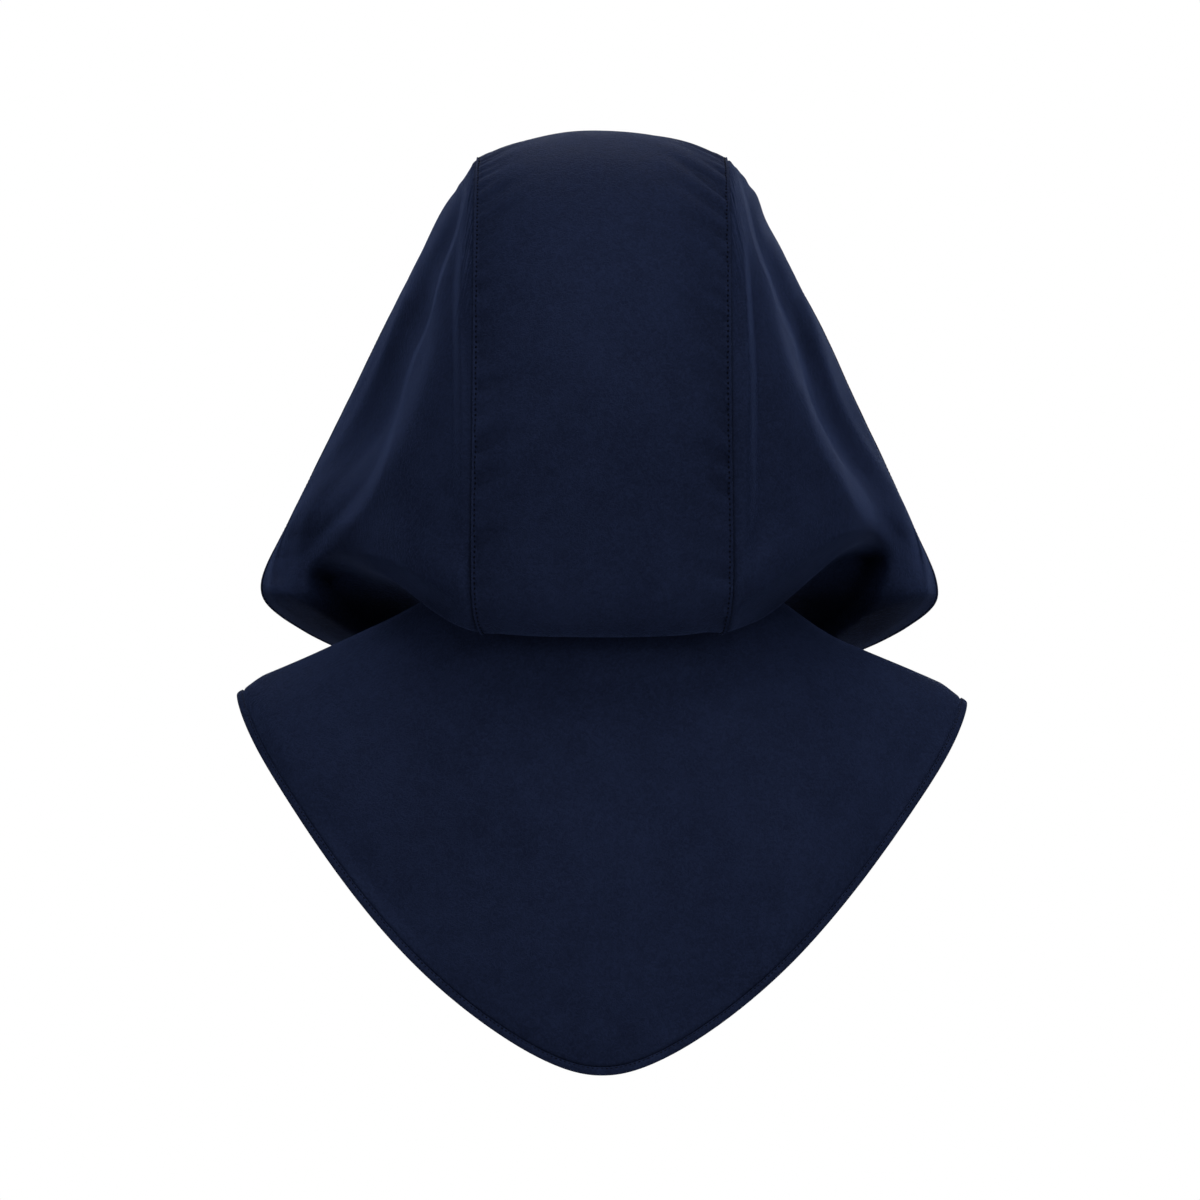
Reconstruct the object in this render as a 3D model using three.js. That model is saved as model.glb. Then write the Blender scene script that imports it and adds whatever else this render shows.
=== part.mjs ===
// A detachable hood with a shoulder yoke, in plain dark blue cloth, as it hangs when it is worn.
// A crown panel runs from the nape over the head to the brow. A side panel on each side hangs from
// its seam, pouches over the neck and flares to the open front. The neck edge is sewn to a yoke,
// which has a back and a front flap joined just in front of the shoulders. The face opening and
// the yoke each have a hem, which is a band of folded cloth along the edge.
// The frame is in millimetres with +Z up, +Y to the wearer's front and +X to the wearer's right.
// The origin is on the inner face of the crown panel, where the top of the head carries it.
import * as THREE from "three";

// Driving sizes
const CLOTH = 1.6; // two layers of cloth
const GAP = 0.4; // between two pieces that are sewn together
const NECK = { halfWidth: 98, halfDepth: 84, backZ: -269, frontDrop: 76, dropPower: 2.44 };
const SHOULDER_HALF_WIDTH = 220;
const SHOULDER_SEAM_ANGLE = 97; // degrees round from the back, so just in front of the ridge
const YOKE_DEPTH = { back: 127, front: 112 };
const YOKE_FALL = { side: 1, middle: 1.4 }; // how soon the yoke turns down from the neck
const YOKE_HEM = { width: 4, thickness: 2.6 };
const FACE_HEM = { width: 3, thickness: 2.4 };
const CROWN_ROUNDNESS = 2.5; // a crown panel section is this power of its share across
const CLOTH_COLOUR = 0x1b2440;

// The yoke's hem: angle round from the back in degrees, and its height.
const YOKE_HEM_ROWS = [
  { angle: 0, z: -558.5 },
  { angle: 8, z: -551 },
  { angle: 16, z: -534 },
  { angle: 30, z: -494 },
  { angle: 43, z: -449 },
  { angle: 56, z: -405 },
  { angle: 69, z: -369 },
  { angle: 82, z: -342 },
  { angle: 90, z: -335 },
  { angle: 100, z: -343 },
  { angle: 115, z: -371 },
  { angle: 130, z: -409 },
  { angle: 148, z: -457 },
  { angle: 165, z: -489 },
  { angle: 180, z: -500 },
];

// Sections of the hood, from the neck seam over the crown to the brow. Each gives the middle of the
// crown panel as y and z, the seam as its half width and its offset from the middle, and then the
// points [x, y, z] of the side panel: the ridge, the hollow beyond it, the lobe and the rim.
const SECTIONS = [
  { name: "neck", y: -84, z: -269, half: 60, seamY: 17.6, seamZ: 0 },
  { name: "under_roll", y: -101, z: -289, half: 66, seamY: 16, seamZ: 3,
    ridge: [104, -32, -274], hollow: [107, 29, -285], lobe: [104, 68, -311], rim: [66, 98, -331] },
  { name: "roll_foot", y: -117, z: -305.5, half: 71, seamY: 15, seamZ: 2,
    ridge: [101, -66, -288], hollow: [113, 20, -278], lobe: [146, 56, -304], rim: [144, 89, -321] },
  { name: "roll_back", y: -134, z: -297, half: 75, seamY: 15, seamZ: 1,
    ridge: [117, -68, -279], hollow: [127, 14, -269], lobe: [171, 50, -289], rim: [190, 83, -301] },
  { name: "low_back", y: -145, z: -265, half: 77, seamY: 16, seamZ: 0,
    ridge: [130, -68, -261], hollow: [155, 14, -259], lobe: [190, 52, -272], rim: [213, 80, -278] },
  { name: "waist", y: -150, z: -211, half: 76.5, seamY: 17, seamZ: 0,
    ridge: [127, -73, -220], hollow: [162, -4, -231], lobe: [192, 49, -240], rim: [202, 82, -245] },
  { name: "mid_back", y: -147, z: -147, half: 76, seamY: 17, seamZ: -2,
    ridge: [112, -78, -168], hollow: [136, -4, -184], lobe: [167, 48, -194], rim: [179, 86, -198] },
  { name: "high_back", y: -134, z: -88, half: 76, seamY: 15, seamZ: -6,
    ridge: [100, -68, -112], hollow: [122, 2, -132], lobe: [147, 54, -147], rim: [157, 90, -153] },
  { name: "crown_back", y: -106, z: -40, half: 76, seamY: 11, seamZ: -11,
    ridge: [93, -48, -72], hollow: [113, 12, -90], lobe: [131, 60, -107], rim: [138, 94, -113] },
  { name: "crown", y: -60, z: -8, half: 76, seamY: 5, seamZ: -14,
    ridge: [90, -14, -41], hollow: [103, 32, -55], lobe: [114, 70, -69], rim: [119, 98, -76] },
  { name: "top", y: -8, z: 1.6, half: 76, seamY: 0, seamZ: -17,
    ridge: [87, 24, -27], hollow: [94, 52, -34], lobe: [99, 79, -41], rim: [102, 100.5, -45] },
  { name: "brow", y: 50, z: -0.5, half: 76, seamY: -3, seamZ: -17,
    ridge: [82, 64, -23], hollow: [85, 79, -26], lobe: [88, 92, -30], rim: [90, 102, -33] },
  { name: "front", y: 106, z: -9, half: 76, seamY: -3.5, seamZ: -15,
    ridge: [77, 102.5, -25], hollow: [78, 102.5, -26], lobe: [79, 102.5, -27], rim: [80, 102.5, -28] },
];
const STATIONS = [0, 0.3, 0.52, 0.76, 1]; // seam, ridge, hollow, lobe, rim
const THROAT_ANGLE = 179.5; // where the two side panels stop, short of each other

// How finely each piece is faceted
const ROWS_PER_SECTION = 3;
const CROWN_COLUMNS = 8;
const SIDE_COLUMNS = 18;
const YOKE_ROWS = 9;
const YOKE_COLUMNS = { back: 32, front: 26 };

const radians = (degrees) => (degrees * Math.PI) / 180;
const mix = (a, b, share) => a + (b - a) * share;
const steps = (from, to, count) => Array.from({ length: count + 1 }, (_, i) => mix(from, to, i / count));

// A natural cubic spline through values, which are numbers, at rising places.
function spline(places, values) {
  const last = places.length - 1;
  const step = (i) => places[i + 1] - places[i];
  const bend = new Array(last + 1).fill(0);
  const upper = new Array(last + 1).fill(0);
  for (let i = 1; i < last; i++) {
    const pull = (values[i + 1] - values[i]) / step(i) - (values[i] - values[i - 1]) / step(i - 1);
    const weight = 2 * (step(i - 1) + step(i)) - step(i - 1) * upper[i - 1];
    upper[i] = step(i) / weight;
    bend[i] = (6 * pull - step(i - 1) * bend[i - 1]) / weight;
  }
  for (let i = last - 1; i > 0; i--) bend[i] -= upper[i] * bend[i + 1];
  return (place) => {
    let i = 0;
    while (i < last - 1 && place > places[i + 1]) i++;
    const width = step(i);
    const b = (place - places[i]) / width;
    const a = 1 - b;
    const curve = ((a ** 3 - a) * bend[i] + (b ** 3 - b) * bend[i + 1]) * (width ** 2 / 6);
    return a * values[i] + b * values[i + 1] + curve;
  };
}

// The same through points, which are lists of three numbers. It gives a vector.
function pointSpline(places, points) {
  const parts = [0, 1, 2].map((axis) => spline(places, points.map((point) => point[axis])));
  return (place) => new THREE.Vector3(...parts.map((part) => part(place)));
}

// Neck seam: an ellipse that drops towards the throat. The angle is in degrees from the back.
function neckPoint(angle, grow = 0) {
  const turn = radians(angle);
  const share = ((1 - Math.cos(turn)) / 2) ** NECK.dropPower;
  const x = (NECK.halfWidth + grow) * Math.sin(turn);
  const y = -(NECK.halfDepth + grow) * Math.cos(turn);
  return [x, y, NECK.backZ - NECK.frontDrop * share + grow];
}

// How far each section lies along the middle of the crown panel, and the rows that pass through it.
const SECTION_PLACES = SECTIONS.reduce((places, { y, z }, i) => {
  const before = SECTIONS[i - 1];
  return [...places, before ? places[i - 1] + Math.hypot(y - before.y, z - before.z) : 0];
}, []);
const HOOD_ROWS = SECTION_PLACES.flatMap((place, i) =>
  i === 0 ? [place] : steps(SECTION_PLACES[i - 1], place, ROWS_PER_SECTION).slice(1));
const NECK_SEAM_ANGLE = (Math.asin(SECTIONS[0].half / NECK.halfWidth) * 180) / Math.PI;

// One section of the crown panel, from the left seam (-1) to the right (1).
function crownSection({ y, z, half, seamY, seamZ, rim }, across) {
  if (!rim) return neckPoint(across * NECK_SEAM_ANGLE, GAP);
  const fall = Math.abs(across) ** CROWN_ROUNDNESS;
  return [half * across, y + seamY * fall, z + seamZ * fall];
}

// One section of the side panel on the wearer's right, from its seam (0) to its rim (1).
function sideSection(section, across) {
  const { ridge, hollow, lobe, rim } = section;
  if (!rim) return neckPoint(mix(NECK_SEAM_ANGLE, THROAT_ANGLE, across), GAP);
  const points = [crownSection(section, 1), ridge, hollow, lobe, rim];
  return pointSpline(STATIONS, points)(across).toArray();
}

// A hood piece's outer face, as rows of points from the neck to the brow.
function hoodGrid(section, columns) {
  const curves = columns.map((across) =>
    pointSpline(SECTION_PLACES, SECTIONS.map((entry) => section(entry, across))));
  return HOOD_ROWS.map((place) => curves.map((curve) => curve(place)));
}

// The hem's height goes on symmetrically past the middle of each flap, which keeps its tip round.
const HEM_ROWS = [
  { angle: -YOKE_HEM_ROWS[1].angle, z: YOKE_HEM_ROWS[1].z },
  ...YOKE_HEM_ROWS,
  { angle: 360 - YOKE_HEM_ROWS.at(-2).angle, z: YOKE_HEM_ROWS.at(-2).z },
];
const hemHeight = spline(HEM_ROWS.map((row) => row.angle), HEM_ROWS.map((row) => row.z));

// The yoke's outer face: angle in degrees from the back, and share from the neck (0) to the hem (1).
function yokePoint(angle, share) {
  const turn = radians(angle);
  const side = Math.cos(turn);
  const around = (Math.acos(side) * 180) / Math.PI;
  const neck = neckPoint(angle);
  const depth = side > 0 ? YOKE_DEPTH.back : YOKE_DEPTH.front;
  const out = 1 - (1 - share) ** (YOKE_FALL.side + YOKE_FALL.middle * side ** 2);
  const x = mix(neck[0], SHOULDER_HALF_WIDTH * Math.sin(turn), out);
  const y = mix(neck[1], -depth * side, out);
  return new THREE.Vector3(x, y, mix(neck[2], hemHeight(around), share));
}

// A flap of the yoke between two angles, as rows of points from the hem up to the neck.
function yokeGrid(from, to, columns) {
  const angles = steps(from, to, columns);
  return steps(1, 0, YOKE_ROWS).map((share) => angles.map((angle) => yokePoint(angle, share)));
}

// Unit normals of a grid whose rows go up and whose columns go to the right, seen from outside.
function gridNormals(grid) {
  const at = (i, j) => {
    const row = grid[Math.min(Math.max(i, 0), grid.length - 1)];
    return row[Math.min(Math.max(j, 0), row.length - 1)];
  };
  return grid.map((row, i) => row.map((_, j) => {
    const up = at(i + 1, j).clone().sub(at(i - 1, j));
    const right = at(i, j + 1).clone().sub(at(i, j - 1));
    return right.cross(up).normalize();
  }));
}

const offset = (point, normal, distance) => point.clone().addScaledVector(normal, distance);

// A closed body whose skin is sheets of points: a tube of rings, or an outer and an inner face.
function skin(points, quads) {
  const geometry = new THREE.BufferGeometry();
  const numbers = points.flatMap((point) => point.toArray());
  geometry.setAttribute("position", new THREE.Float32BufferAttribute(numbers, 3));
  geometry.setIndex(quads.flatMap(([a, b, c, d]) => [a, b, c, a, c, d]));
  geometry.computeVertexNormals();
  return geometry;
}

// Cloth of even thickness behind a grid of points on its outer face, with its normals.
function cloth({ grid, normals }) {
  const rows = grid.length;
  const columns = grid[0].length;
  const inner = grid.map((row, i) => row.map((point, j) => offset(point, normals[i][j], -CLOTH)));
  const front = (i, j) => i * columns + j;
  const back = (i, j) => rows * columns + front(i, j);
  const quads = [];
  for (let i = 0; i < rows - 1; i++) {
    for (let j = 0; j < columns - 1; j++) {
      quads.push([front(i, j), front(i, j + 1), front(i + 1, j + 1), front(i + 1, j)]);
      quads.push([back(i, j), back(i + 1, j), back(i + 1, j + 1), back(i, j + 1)]);
    }
    const end = columns - 1;
    quads.push([front(i, 0), front(i + 1, 0), back(i + 1, 0), back(i, 0)]);
    quads.push([front(i, end), back(i, end), back(i + 1, end), front(i + 1, end)]);
  }
  for (let j = 0; j < columns - 1; j++) {
    const end = rows - 1;
    quads.push([front(0, j), back(0, j), back(0, j + 1), front(0, j + 1)]);
    quads.push([front(end, j), front(end, j + 1), back(end, j + 1), back(end, j)]);
  }
  return skin([...grid.flat(), ...inner.flat()], quads);
}

// A hem's section, as shares of its half width off the edge and of its half thickness: it is flat
// against the cloth and round outside.
const HEM_SECTION = [[-1, -1], [0.4, -1], [1, -0.4], [1, 0.4], [0.4, 1], [-1, 1]];
const HEM_END = [[0, 1, 2, 3], [0, 3, 4, 5]]; // the same six corners as two quads

// A folded band along an edge. Each entry of the edge has its point and the cloth's normal there.
// The entries go to the right round the cloth, seen from outside.
function band(edge, { width, thickness }, closed) {
  const count = edge.length;
  const sides = HEM_SECTION.length;
  const near = (i) => (closed ? (i + count) % count : Math.min(Math.max(i, 0), count - 1));
  const rings = edge.map(({ point, normal }, i) => {
    const off = edge[near(i + 1)].point.clone().sub(edge[near(i - 1)].point).cross(normal).normalize();
    const middle = offset(offset(point, normal, -CLOTH / 2), off, GAP + width / 2);
    return HEM_SECTION.map(([across, up]) =>
      offset(offset(middle, off, (across * width) / 2), normal, (up * thickness) / 2));
  });
  const at = (i, k) => near(i) * sides + (k % sides);
  const quads = [];
  for (let i = 0; i < (closed ? count : count - 1); i++) {
    for (let k = 0; k < sides; k++) quads.push([at(i, k), at(i + 1, k), at(i + 1, k + 1), at(i, k + 1)]);
  }
  if (!closed) {
    const end = count - 1;
    for (const [a, b, c, d] of HEM_END) {
      quads.push([at(0, a), at(0, b), at(0, c), at(0, d)]);
      quads.push([at(end, d), at(end, c), at(end, b), at(end, a)]);
    }
  }
  return skin(rings.flat(), quads);
}

const mirror = (v) => new THREE.Vector3(-v.x, v.y, v.z);
const mirrorRows = (rows) => rows.map((row) => row.map(mirror).reverse());

// Gives two pieces one normal along the seam between the first's last column and the second's
// first, so that their edges are parallel, and moves the second back from it by the gap.
function join(first, second) {
  second.grid.forEach((row, i) => {
    const shared = first.normals[i].at(-1).clone().add(second.normals[i][0]).normalize();
    const away = row[1].clone().sub(row[0]);
    away.addScaledVector(shared, -away.dot(shared)).normalize();
    row[0] = offset(row[0], away, GAP);
    first.normals[i][first.normals[i].length - 1] = shared;
    first.normals[i][0] = mirror(shared);
    second.normals[i][0] = shared;
  });
}

const piece = (grid) => ({ grid, normals: gridNormals(grid) });
const crown = piece(hoodGrid(crownSection, steps(-1, 1, CROWN_COLUMNS)));
const sideRight = piece(hoodGrid(sideSection, steps(0, 1, SIDE_COLUMNS)));
sideRight.normals[HOOD_ROWS.length - 1] = sideRight.normals.at(-2).map((normal) => normal.clone());
join(crown, sideRight);
const sideLeft = { grid: mirrorRows(sideRight.grid), normals: mirrorRows(sideRight.normals) };
const yokeBack = piece(yokeGrid(-SHOULDER_SEAM_ANGLE, SHOULDER_SEAM_ANGLE, YOKE_COLUMNS.back));
const yokeFront = piece(yokeGrid(SHOULDER_SEAM_ANGLE, 360 - SHOULDER_SEAM_ANGLE, YOKE_COLUMNS.front));
join(yokeBack, yokeFront);
const frontEnd = YOKE_COLUMNS.front;
yokeFront.grid.forEach((row) => (row[frontEnd] = mirror(row[0])));
yokeFront.normals.forEach((row) => (row[frontEnd] = mirror(row[0])));

const entry = ({ grid, normals }, i, j) => ({ point: grid[i][j], normal: normals[i][j] });
const rowEdge = (part, i) => part.grid[i].map((_, j) => entry(part, i, j));
const columnEdge = (part, j) => part.grid.map((_, i) => entry(part, i, j));
const faceEdge = [
  ...columnEdge(sideRight, SIDE_COLUMNS),
  ...rowEdge(crown, HOOD_ROWS.length - 1).reverse(),
  ...columnEdge(sideLeft, 0).reverse(),
];
const yokeEdge = [...rowEdge(yokeBack, 0), ...rowEdge(yokeFront, 0).slice(1, -1)];

const hood = new THREE.Group();
function add(name, geometry) {
  const material = new THREE.MeshStandardMaterial({ color: CLOTH_COLOUR, roughness: 0.85, metalness: 0 });
  const mesh = new THREE.Mesh(geometry, material);
  mesh.name = name;
  hood.add(mesh);
}
add("crown_panel", cloth(crown));
add("side_panel_left", cloth(sideLeft));
add("side_panel_right", cloth(sideRight));
add("yoke_back", cloth(yokeBack));
add("yoke_front", cloth(yokeFront));
add("face_hem", band(faceEdge, FACE_HEM, false));
add("yoke_hem", band(yokeEdge, YOKE_HEM, true));

export default hood;
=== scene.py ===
"""A detachable hood with a shoulder yoke in smooth dark navy cloth, with its seams, puckers, folds and
stitches."""
import math

import bpy
import numpy as np
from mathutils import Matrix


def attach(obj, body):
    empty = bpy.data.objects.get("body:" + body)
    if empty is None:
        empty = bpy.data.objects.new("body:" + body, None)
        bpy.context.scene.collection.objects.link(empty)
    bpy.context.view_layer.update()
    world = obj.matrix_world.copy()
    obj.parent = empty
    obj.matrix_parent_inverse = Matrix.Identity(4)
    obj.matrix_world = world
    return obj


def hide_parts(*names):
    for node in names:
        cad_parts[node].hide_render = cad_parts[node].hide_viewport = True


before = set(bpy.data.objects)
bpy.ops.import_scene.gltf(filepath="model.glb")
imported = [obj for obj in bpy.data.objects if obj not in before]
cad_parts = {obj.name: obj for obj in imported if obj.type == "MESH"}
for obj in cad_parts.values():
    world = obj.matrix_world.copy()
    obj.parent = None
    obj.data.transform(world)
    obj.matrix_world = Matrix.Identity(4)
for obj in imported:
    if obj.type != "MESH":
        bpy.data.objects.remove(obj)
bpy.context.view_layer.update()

MM = 0.001  # the shapes below are worked out in millimetres

# Cloth and its edges
CLOTH = 1.6  # two layers
GAP = 0.4  # between two pieces of the frame that are sewn together
SEAM_GAP = -0.3  # the side panel runs on under the crown panel by this much
NECK = {"half_width": 98, "half_depth": 84, "back_z": -269, "front_drop": 76, "drop_power": 2.44}
SHOULDER_HALF_WIDTH = 220
SHOULDER_SEAM_ANGLE = 97  # degrees round from the back
YOKE_DEPTH = {"back": 127, "front": 112}
YOKE_FALL = {"side": 1, "middle": 1.4}  # how soon the yoke turns down from the neck
YOKE_HEM = {"width": 4.0, "thickness": 2.6}
FACE_HEM = {"width": 3.0, "thickness": 2.4}
HEM_LAP = 0.9  # how much wider a hem is for the cloth that it folds over
CROWN_ROUNDNESS = 2.5  # a crown panel section is this power of its share across

# The yoke's hem: angle round from the back in degrees, and its height.
YOKE_HEM_ROWS = [
    (0, -558.5), (8, -551), (16, -534), (30, -494), (43, -449), (56, -405), (69, -369), (82, -342),
    (90, -335), (100, -343), (115, -371), (130, -409), (148, -457), (165, -489), (180, -500),
]
# The same, carried on over both ends by the row beside each, so that the spline stays level there.
HEM_TABLE = np.array([
    (-YOKE_HEM_ROWS[1][0], YOKE_HEM_ROWS[1][1]),
    *YOKE_HEM_ROWS,
    (360 - YOKE_HEM_ROWS[-2][0], YOKE_HEM_ROWS[-2][1]),
], float)

# Sections of the hood from under the roll to the brow: the middle of the crown panel (y, z), the
# seam (half width, offset y and z), then the side panel's ridge, hollow, lobe and rim (x, y, z).
SECTIONS = {
    "under_roll": ((-101, -289), (66, 16, 3), (104, -32, -274),
                   (107, 29, -285), (104, 68, -311), (66, 98, -331)),
    "roll_foot": ((-117, -305.5), (71, 15, 2), (101, -66, -288),
                  (113, 20, -278), (146, 56, -304), (144, 89, -321)),
    "roll_back": ((-134, -297), (75, 15, 1), (117, -68, -279),
                  (127, 14, -269), (171, 50, -289), (190, 83, -301)),
    "low_back": ((-145, -265), (77, 16, 0), (130, -68, -261),
                 (155, 14, -259), (190, 52, -272), (213, 80, -278)),
    "waist": ((-150, -211), (76.5, 17, 0), (127, -73, -220),
              (162, -4, -231), (192, 49, -240), (202, 82, -245)),
    "mid_back": ((-147, -147), (76, 17, -2), (112, -78, -168),
                 (136, -4, -184), (167, 48, -194), (179, 86, -198)),
    "high_back": ((-134, -88), (76, 15, -6), (100, -68, -112),
                  (122, 2, -132), (147, 54, -147), (157, 90, -153)),
    "crown_back": ((-106, -40), (76, 11, -11), (93, -48, -72),
                   (113, 12, -90), (131, 60, -107), (138, 94, -113)),
    "crown": ((-60, -8), (76, 5, -14), (90, -14, -41),
              (103, 32, -55), (114, 70, -69), (119, 98, -76)),
    "top": ((-8, 1.6), (76, 0, -17), (87, 24, -27),
            (94, 52, -34), (99, 79, -41), (102, 100.5, -45)),
    "brow": ((50, -0.5), (76, -3, -17), (82, 64, -23),
             (85, 79, -26), (88, 92, -30), (90, 102, -33)),
    "front": ((106, -9), (76, -3.5, -15), (77, 102.5, -25),
              (78, 102.5, -26), (79, 102.5, -27), (80, 102.5, -28)),
}
NECK_SECTION = ((-84, -269), (60, 17.6, 0))
STATIONS = np.array([0, 0.3, 0.52, 0.76, 1.0])  # seam, ridge, hollow, lobe, rim
THROAT_ANGLE = 179.5  # where the two side panels stop, short of each other

# How the cloth hangs unlike its mirror image: what is added to ridge, hollow, lobe and rim.
RIGHT_SIDE = {
    "roll_back": ((6, 4, 6), (0, 0, 5), (0, 0, 3),
                  (0, 0, 0)),
    "low_back": ((14, 8, 6), (3, 2, 7), (-2, 0, 4),
                 (-3, 0, 0)),
    "waist": ((20, 12, 0), (6, 4, 2), (-1, 0, 0),
              (-3, 0, 0)),
    "mid_back": ((12, 8, 0), (4, 3, 0), (0, 0, 0),
                 (-1, 0, 0)),
    "high_back": ((5, 4, 0), (2, 1, 0), (0.5, 0, 0),
                  (0, 0, 0)),
    "crown_back": ((2, 0, 0), (1.5, 0, 0), (1, 0, 0),
                   (1, 0, 0)),
    "crown": ((0.4, 0, 0.2), (0.3, 0, 0), (0.3, 0, 0),
              (0.3, 0, 0)),
    "top": ((2.6, 0, 1.2), (1.2, 0, 0.4), (0.5, 0, 0),
            (0.5, 0, 0)),
}
LEFT_SIDE = {
    "roll_back": ((0, 0, 0), (4, 0, -3), (0, 0, -2),
                  (0, 0, 0)),
    "low_back": ((0, 0, -3), (-2, 0, -5), (0, 0, -3),
                 (0, 0, 0)),
}

# Creases of the side panels as seen from behind: the long one, the soft one beside the seam and the
# lobe's. Each row is height z, distance from the middle, how far the cloth stands out backwards
# before the crease and how far it lies in behind it, the crease's half width, and how far both
# reach towards the seam and away from it.
CREASES = {
    "left": [
        [(-20, 80, 0, 0, 2, 3, 4), (-31, 81.6, 3, 6, 2, 4, 6), (-57, 86.2, 7, 12, 1.6, 4, 7),
         (-74, 91.4, 9, 15, 1.6, 5, 8), (-104, 100.4, 12, 15, 1.6, 7, 10), (-134, 111.2, 12, 11, 1.7, 11, 12),
         (-164, 120, 11, 8, 2, 14, 13), (-194, 129.2, 9, 7, 3, 16, 14), (-212, 138, 8, 7, 5, 16, 18),
         (-232, 151, 5, 11, 8, 15, 30), (-246, 163, 2, 14, 10, 14, 45), (-258, 172, 1, 13, 11, 12, 50),
         (-270, 180, 0, 8, 12, 10, 50), (-280, 186, 0, 0, 12, 8, 50)],
        [(-45, 84, 0, 0, 2, 3, 4), (-74, 86.2, 3, 4, 2, 3, 5), (-98, 87.4, 5, 6, 2.5, 4, 7),
         (-128, 87.4, 5, 6, 3, 4, 8), (-164, 87, 4, 5, 4, 5, 9), (-194, 87, 3, 4, 4, 6, 9),
         (-224, 87, 2, 2, 5, 6, 9), (-255, 87, 0, 0, 5, 6, 8)],
        [(-205, 176, 0, 0, 8, 4, 30), (-232, 184, 0, 9, 8, 4, 30), (-258, 186, 0, 11, 9, 4, 30),
         (-276, 192, 0, 0, 8, 4, 30)],
    ],
    "right": [
        [(-14, 80, 0, 0, 1.5, 3, 4), (-31.8, 82.8, 3, 7, 1.5, 3, 5), (-50, 87.4, 5, 10, 1.5, 4, 6),
         (-68, 92.5, 6, 12, 1.6, 5, 7), (-92, 101, 8, 13, 1.8, 6, 9), (-104, 105.2, 9, 13, 2, 7, 10),
         (-137, 118.4, 9, 12, 2.6, 12, 12), (-170, 127.4, 9, 9, 4, 15, 13), (-197, 138, 8, 8, 8, 16, 14),
         (-212, 147.6, 7, 9, 8, 16, 18), (-232, 161, 4, 13, 9, 15, 30), (-246, 171, 2, 16, 10, 14, 45),
         (-258, 178, 1, 14, 11, 12, 50), (-270, 184, 0, 8, 12, 10, 50), (-280, 188, 0, 0, 12, 8, 50)],
        [(-68, 85.5, 0, 0, 2.5, 3, 5), (-86, 87.4, 5, 6, 2.5, 4, 6), (-104, 88.4, 9, 10, 2.5, 5, 8),
         (-134, 90, 8, 9, 3.5, 5, 9), (-164, 91, 7, 8, 4, 6, 10), (-197, 91, 6, 7, 4, 7, 11),
         (-224, 90.5, 5, 6, 5, 7, 11), (-245, 89, 3, 4, 5, 7, 10), (-268, 88, 0, 0, 5, 6, 8)],
        [(-205, 178, 0, 0, 8, 4, 30), (-232, 187, 0, 8, 8, 4, 30), (-258, 190, 0, 11, 9, 4, 30),
         (-276, 195, 0, 0, 8, 4, 30)],
    ],
}

# The soft fold under each lobe, in the same way: height z, distance from the middle, how far it
# stands out, and its width towards the seam and away from it.
LOBE_FOLD = {
    "left": [(-268, 198, 0, 5, 8), (-277, 191, 1.6, 5, 10), (-286, 178, 2.2, 5, 12),
             (-292, 166, 2.2, 5, 12), (-303, 146, 1.5, 5, 12), (-312, 134, 0, 5, 10)],
    "right": [(-270, 194, 0, 5, 8), (-278, 186, 1.4, 5, 10), (-284, 179, 1.6, 5, 10),
              (-292, 162, 1.6, 5, 12), (-301, 143, 1.2, 5, 12), (-312, 130, 0, 5, 10)],
}

# How the cloth stands out backwards just before it turns forward to the rim, in the same way.
RIM_FOLD = [(-20, 86, 0, 4, 10), (-56, 95.5, 12, 6, 9), (-80, 108, 20, 8, 9), (-104, 119, 24, 10, 9),
            (-134, 133, 19, 13, 9), (-164, 148, 13, 14, 9), (-212, 172, 7, 12, 9), (-242, 187, 4, 9, 9),
            (-262, 196, 0, 8, 10)]

# The soft bulge of each lobe as seen from behind: distance from the middle, height, how far it stands
# out backwards, its half width, and its reach up and down.
BULGES = {
    "left": [(192, -278, 25, 50, 44, 20)],
    "right": [(194, -280, 25, 50, 44, 20)],
}

# Painted shade where little light gets in under the lobe and under the pouch, in the same way, but
# with the share of light that is lost.
PAINTED_POCKET_SHADE = {
    "left": [(172, -298, 0.45, 26, 13, 16), (126, -289, 0.75, 30, 9, 16)],
    "right": [(168, -299, 0.45, 24, 13, 16), (128, -286, 0.75, 28, 10, 18)],
}

# The hollow between pouch and lobe, as seen from behind: its outline from the pouch's foot out to
# the round end and back under the lobe, as distance from the middle and height, then how far the
# cloth starts to turn in before the outline and how far behind it the full depth is reached.
HOLLOWS = {
    "left": [(96, -294, 13, 1), (103.2, -288.2, 14, 1), (115.8, -280.4, 14, 1), (130.2, -271, 12, 2),
             (144, -264.5, 9, 4), (157, -262, 8, 8), (168, -264, 7, 12), (175, -270, 5, 16),
             (174, -280, 4, 16), (166, -290, 3, 15), (154, -300, 3, 13), (138, -311, 3, 12),
             (118, -318, 4, 10), (100, -308, 8, 8)],
    "right": [(88, -299, 13, 1), (101.4, -288.8, 14, 1), (120.6, -275.6, 14, 1), (134.4, -263, 12, 2),
              (145, -253, 9, 4), (153, -249, 8, 8), (162.5, -250.5, 7, 12), (170, -257, 5, 16),
              (170.5, -268, 4, 16), (165, -281, 3, 15), (155, -293, 3, 13), (140, -304, 3, 12),
              (120, -318, 4, 10), (96, -310, 8, 8)],
}
HOLLOW_DEPTH = 24
# The bulge before the hollow and the ridge beside it: height, distance from the outline, half width.
POUCH_BULGE = (3, 24, 11)
LOBE_RIDGE = (2.0, 1.5, 3.2)

# Over which distances, in from the rim, the seam and the neck, the forms above rise to full height.
RIM_FOLD_FADE = (12, 62)
HOLLOW_FADE = (4, 60)
LOBE_FADE = (0, 16)
CREASE_FADE = (0, 22)
SEAM_FADE = (1, 9)
NECK_FADE = (0, 15)

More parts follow.
